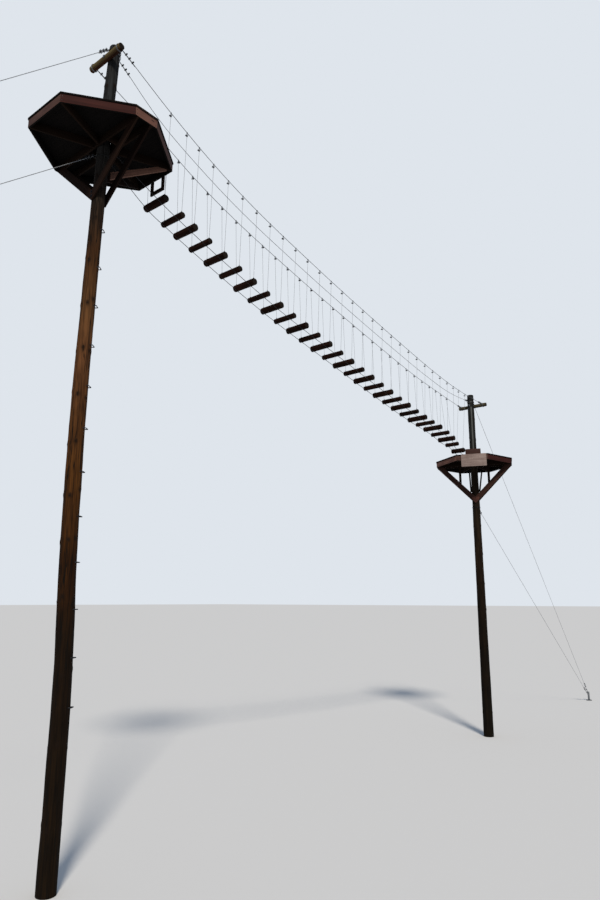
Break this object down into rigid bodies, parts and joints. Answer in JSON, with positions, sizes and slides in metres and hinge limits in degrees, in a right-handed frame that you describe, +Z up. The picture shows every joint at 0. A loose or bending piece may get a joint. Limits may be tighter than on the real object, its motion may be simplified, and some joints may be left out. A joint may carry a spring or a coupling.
{
  "type": "log-tread suspension footbridge between two pole platforms, 1:2 scale model",
  "caption": "Suspension footbridge of log treads hung from cables between two guyed wooden poles, each with an eight-sided platform and a crossarm.",
  "frame": {"origin": "centre of the tall pole's flat foot, at the common lowest ground level", "axes": "+X along the bridge from the tall pole to the short pole, +Z up, +Y to the left of a person walking along +X"},
  "size_m": [25.1978, 1.6, 9.265],
  "materials": {
    "pole_wood": "weathered round log, stained brown",
    "arm_wood": "weathered round log",
    "deck_wood": "stained planks",
    "rim_wood": "red-brown stained boards",
    "brace_wood": "red-brown stained boards",
    "tread_wood": "dark stained logs, sawn flat on top",
    "panel_wood": "bare plywood",
    "cable_steel": "galvanised wire rope"
  },
  "bodies": {
    "root": {"belay_cable": "cable_steel", "foot_cable_far": "cable_steel", "foot_cable_near": "cable_steel", "left_back_guys": "cable_steel", "left_brace_bridge_side": "brace_wood", "left_brace_outer_side": "brace_wood", "left_crossarm": "arm_wood", "left_deck": "deck_wood", "left_end_brace_far": "brace_wood", "left_end_brace_near": "brace_wood", "left_hanging_step": "brace_wood", "left_joists": "brace_wood", "left_pole": "pole_wood", "left_rim": "rim_wood", "right_back_guys": "cable_steel", "right_brace_bridge_side": "brace_wood", "right_brace_outer_side": "brace_wood", "right_crossarm": "arm_wood", "right_deck": "deck_wood", "right_joists": "brace_wood", "right_landing_panel": "panel_wood", "right_pole": "pole_wood", "right_rim": "rim_wood", "right_step_box": "rim_wood", "right_thin_brace_far": "brace_wood", "right_thin_brace_near": "brace_wood", "suspension_cable_far": "cable_steel", "suspension_cable_near": "cable_steel", "tread_01": "tread_wood", "tread_02": "tread_wood", "tread_03": "tread_wood", "tread_04": "tread_wood", "tread_05": "tread_wood", "tread_06": "tread_wood", "tread_07": "tread_wood", "tread_08": "tread_wood", "tread_09": "tread_wood", "tread_10": "tread_wood", "tread_11": "tread_wood", "tread_12": "tread_wood", "tread_13": "tread_wood", "tread_14": "tread_wood", "tread_15": "tread_wood", "tread_16": "tread_wood", "tread_17": "tread_wood", "tread_18": "tread_wood", "tread_19": "tread_wood", "tread_20": "tread_wood", "tread_21": "tread_wood", "tread_22": "tread_wood", "tread_23": "tread_wood", "tread_24": "tread_wood", "tread_25": "tread_wood", "tread_26": "tread_wood", "tread_27": "tread_wood", "tread_28": "tread_wood", "tread_29": "tread_wood"}
  },
  "joints": []
}
